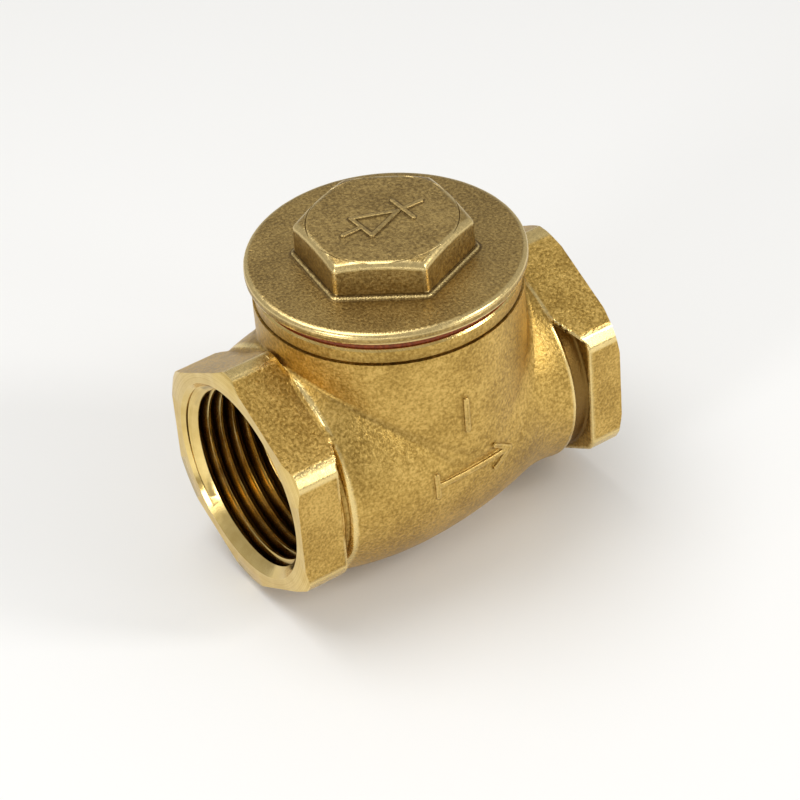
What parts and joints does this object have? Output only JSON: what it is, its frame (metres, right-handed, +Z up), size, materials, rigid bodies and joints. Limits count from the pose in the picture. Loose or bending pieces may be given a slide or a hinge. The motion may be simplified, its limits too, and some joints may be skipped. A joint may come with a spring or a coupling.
{
  "type": "swing check valve",
  "caption": "Brass swing check valve: threaded ports in line with hexagon ends, a flap hung on a pin inside, and a round neck closed by a screwed cap.",
  "frame": {"origin": "centre of the inlet's end face, on the flow axis", "axes": "+X along the flow from inlet to outlet, +Z up from the flow axis through the cap, +Y to the left when looking downstream"},
  "size_m": [0.063, 0.0454, 0.0596],
  "materials": {
    "forged_brass": "hot-forged and shot-blasted, fine even grain",
    "cap_brass": "hot-forged and shot-blasted, darker and browner than the body",
    "turned_brass": "turned, bright, with fine tool rings",
    "arm_brass": "pressed and tumbled, satin",
    "stainless": "ground, satin",
    "fibre": "pressed red-brown vulcanised fibre, matt",
    "seal_rubber": "matt black nitrile rubber"
  },
  "bodies": {
    "valve_body": {"body": "forged_brass", "hinge_pin": "stainless", "pin_plug": "turned_brass", "pin_plug_gasket": "fibre"},
    "gasket_ring": {"cap_gasket": "fibre"},
    "screwed_cap": {"cap": "cap_brass"},
    "flap_arm": {"hinge_arm": "arm_brass"},
    "flap_disc": {"disc": "turned_brass", "disc_seal": "seal_rubber", "seal_retainer": "turned_brass", "retainer_screw": "stainless", "arm_washer": "stainless", "arm_nut": "turned_brass"}
  },
  "joints": [
    {"name": "flap_swing", "type": "hinge", "parent": "valve_body", "child": "flap_arm", "pos_m": [0.02, 0, 0.0185], "axis": [0, -1, 0], "range_deg": [0, 65]},
    {"name": "disc_turn", "type": "hinge", "parent": "flap_arm", "child": "flap_disc", "pos_m": [0.0172, 0, 0], "axis": [0.9945, 0, 0.1045], "continuous": true},
    {"name": "cap_lift", "type": "slide", "parent": "valve_body", "child": "gasket_ring", "axis": [0, 0, 1], "range_m": [0, 0.00525]},
    {"name": "cap_turn", "type": "hinge", "parent": "gasket_ring", "child": "screwed_cap", "pos_m": [0.0315, 0, 0.0273], "axis": [0, 0, 1], "range_deg": [0, 1260]}
  ],
  "couplings": [
    {"joint": "cap_lift", "follows": "cap_turn", "m_per_rad": 0.00023873}
  ]
}
